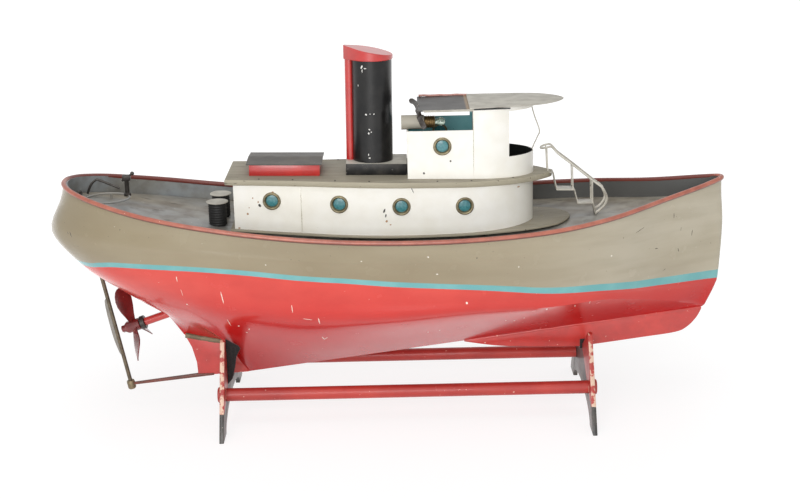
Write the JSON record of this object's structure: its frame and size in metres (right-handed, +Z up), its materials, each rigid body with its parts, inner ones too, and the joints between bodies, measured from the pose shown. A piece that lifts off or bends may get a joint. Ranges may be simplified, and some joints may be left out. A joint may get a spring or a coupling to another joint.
{
  "type": "toy steam tugboat",
  "caption": "Toy steam tugboat with a sheet-metal hull, lift-off deckhouse with wheelhouse and funnel, oscillating engine, boiler, propeller and rudder, on a two-board stand.",
  "frame": {"origin": "on the floor plane of the stand, under the middle of the hull", "axes": "+X towards the bow, +Y to port, +Z up"},
  "size_m": [0.8178, 0.259, 0.4557],
  "materials": {
    "stand_paint": "worn red paint on wood, black on the feet",
    "felt": "black felt",
    "hull_paint": "worn gloss enamel in three bands: grey topsides, teal line, red bottom",
    "red_paint": "worn gloss red enamel",
    "rail_paint": "worn salmon-red enamel over copper",
    "deck_paint": "satin grey enamel, dirty",
    "house_paint": "aged white enamel",
    "roof_paint": "grey paint on wood, grain showing",
    "lid_paint": "dark grey enamel on bent sheet",
    "canopy_grey": "dull grey enamel",
    "black_paint": "chipped gloss black enamel",
    "green_paint": "gloss green enamel",
    "white_paint": "aged white enamel on wire",
    "brass": "dull aged brass",
    "bare_bronze": "stained brass with traces of red",
    "bright_steel": "turned steel",
    "dark_steel": "dark oiled steel",
    "teal_glass": "teal backing behind the porthole",
    "clear_glass": "clear bulb glass",
    "wick_cotton": "cotton wick"
  },
  "bodies": {
    "stand": {"stand_ends": "stand_paint", "tie_rods": "stand_paint", "tie_rod_buttons": "stand_paint", "notch_felt": "felt"},
    "hull": {"hull_shell": "hull_paint", "skeg_plate": "red_paint", "fore_keel_plate": "red_paint", "rail_tube": "rail_paint", "main_deck": "deck_paint", "well_coaming": "deck_paint", "stern_tube": "red_paint", "stern_gland": "dark_steel", "rudder_trunk": "deck_paint", "heel_shoe": "bare_bronze", "bollards": "black_paint", "bollard_caps": "deck_paint", "tiller_hoop": "deck_paint", "tiller_post": "dark_steel", "steering_chain": "bright_steel", "machinery_bearers": "black_paint", "engine_standard": "green_paint", "exhaust_riser": "brass", "boiler_barrel": "brass", "boiler_ends": "brass", "boiler_casing": "black_paint", "uptake": "black_paint", "steam_pipe": "brass", "stop_valve": "brass", "safety_valve": "brass"},
    "tiller_clamp": {"tiller_screw": "dark_steel"},
    "rudder": {"rudder_stock": "bare_bronze", "rudder_blade": "bare_bronze", "tiller": "dark_steel"},
    "propeller_line": {"propeller_shaft": "bright_steel", "propeller_hub": "red_paint", "propeller_blades": "red_paint", "flywheel": "bright_steel", "crank_disc": "bright_steel"},
    "rocking_cylinder": {"cylinder": "brass"},
    "piston": {"piston_rod": "bright_steel"},
    "burner": {"burner_tank": "brass", "burner_wicks": "wick_cotton"},
    "steam_valve": {"valve_wheel": "red_paint"},
    "superstructure": {"base_board": "roof_paint", "house_walls": "house_paint", "house_roof": "roof_paint", "porthole_rims": "brass", "porthole_glass": "teal_glass", "hatch_coaming": "red_paint", "funnel_box": "black_paint", "funnel": "black_paint", "exhaust_pipe": "red_paint", "funnel_cap": "red_paint", "wheelhouse_walls": "house_paint", "wheelhouse_roof": "canopy_grey", "lamp_tube": "canopy_grey", "lamp_bulb": "clear_glass", "stair": "roof_paint", "handrails": "white_paint"},
    "engine_hatch": {"hatch_lid": "lid_paint"}
  },
  "joints": [
    {"name": "hull_lift", "type": "slide", "parent": "stand", "child": "hull", "axis": [0, 0, 1], "range_m": [0, 0.15]},
    {"name": "superstructure_lift", "type": "slide", "parent": "hull", "child": "superstructure", "axis": [0, 0, 1], "range_m": [0, 0.15]},
    {"name": "hatch_lift", "type": "slide", "parent": "superstructure", "child": "engine_hatch", "axis": [0, 0, 1], "range_m": [0, 0.06]},
    {"name": "propeller_spin", "type": "hinge", "parent": "hull", "child": "propeller_line", "pos_m": [-0.318, 0, 0.112], "axis": [0.9478, 0, 0.319], "continuous": true},
    {"name": "cylinder_rock", "type": "hinge", "parent": "hull", "child": "rocking_cylinder", "pos_m": [-0.1567, 0, 0.21271], "axis": [0.9478, 0, 0.319], "range_deg": [-13, 13]},
    {"name": "piston_stroke", "type": "slide", "parent": "rocking_cylinder", "child": "piston", "axis": [-0.319, 0, 0.9478], "range_m": [-0.02, 0]},
    {"name": "rudder_turn", "type": "hinge", "parent": "hull", "child": "rudder", "pos_m": [-0.3271, 0, 0.0345], "axis": [-0.1848, 0, 0.9828], "range_deg": [-20, 70]},
    {"name": "clamp_screw_turn", "type": "hinge", "parent": "hull", "child": "tiller_clamp", "pos_m": [-0.3168, 0.01338, 0.29735], "axis": [0.8192, 0, 0.5736], "range_deg": [0, 720]},
    {"name": "steam_valve_turn", "type": "hinge", "parent": "hull", "child": "steam_valve", "pos_m": [-0.058, 0, 0.25], "axis": [0, 0, 1], "range_deg": [0, 540]},
    {"name": "burner_draw", "type": "slide", "parent": "hull", "child": "burner", "axis": [1, 0, 0], "range_m": [0, 0.05]}
  ]
}
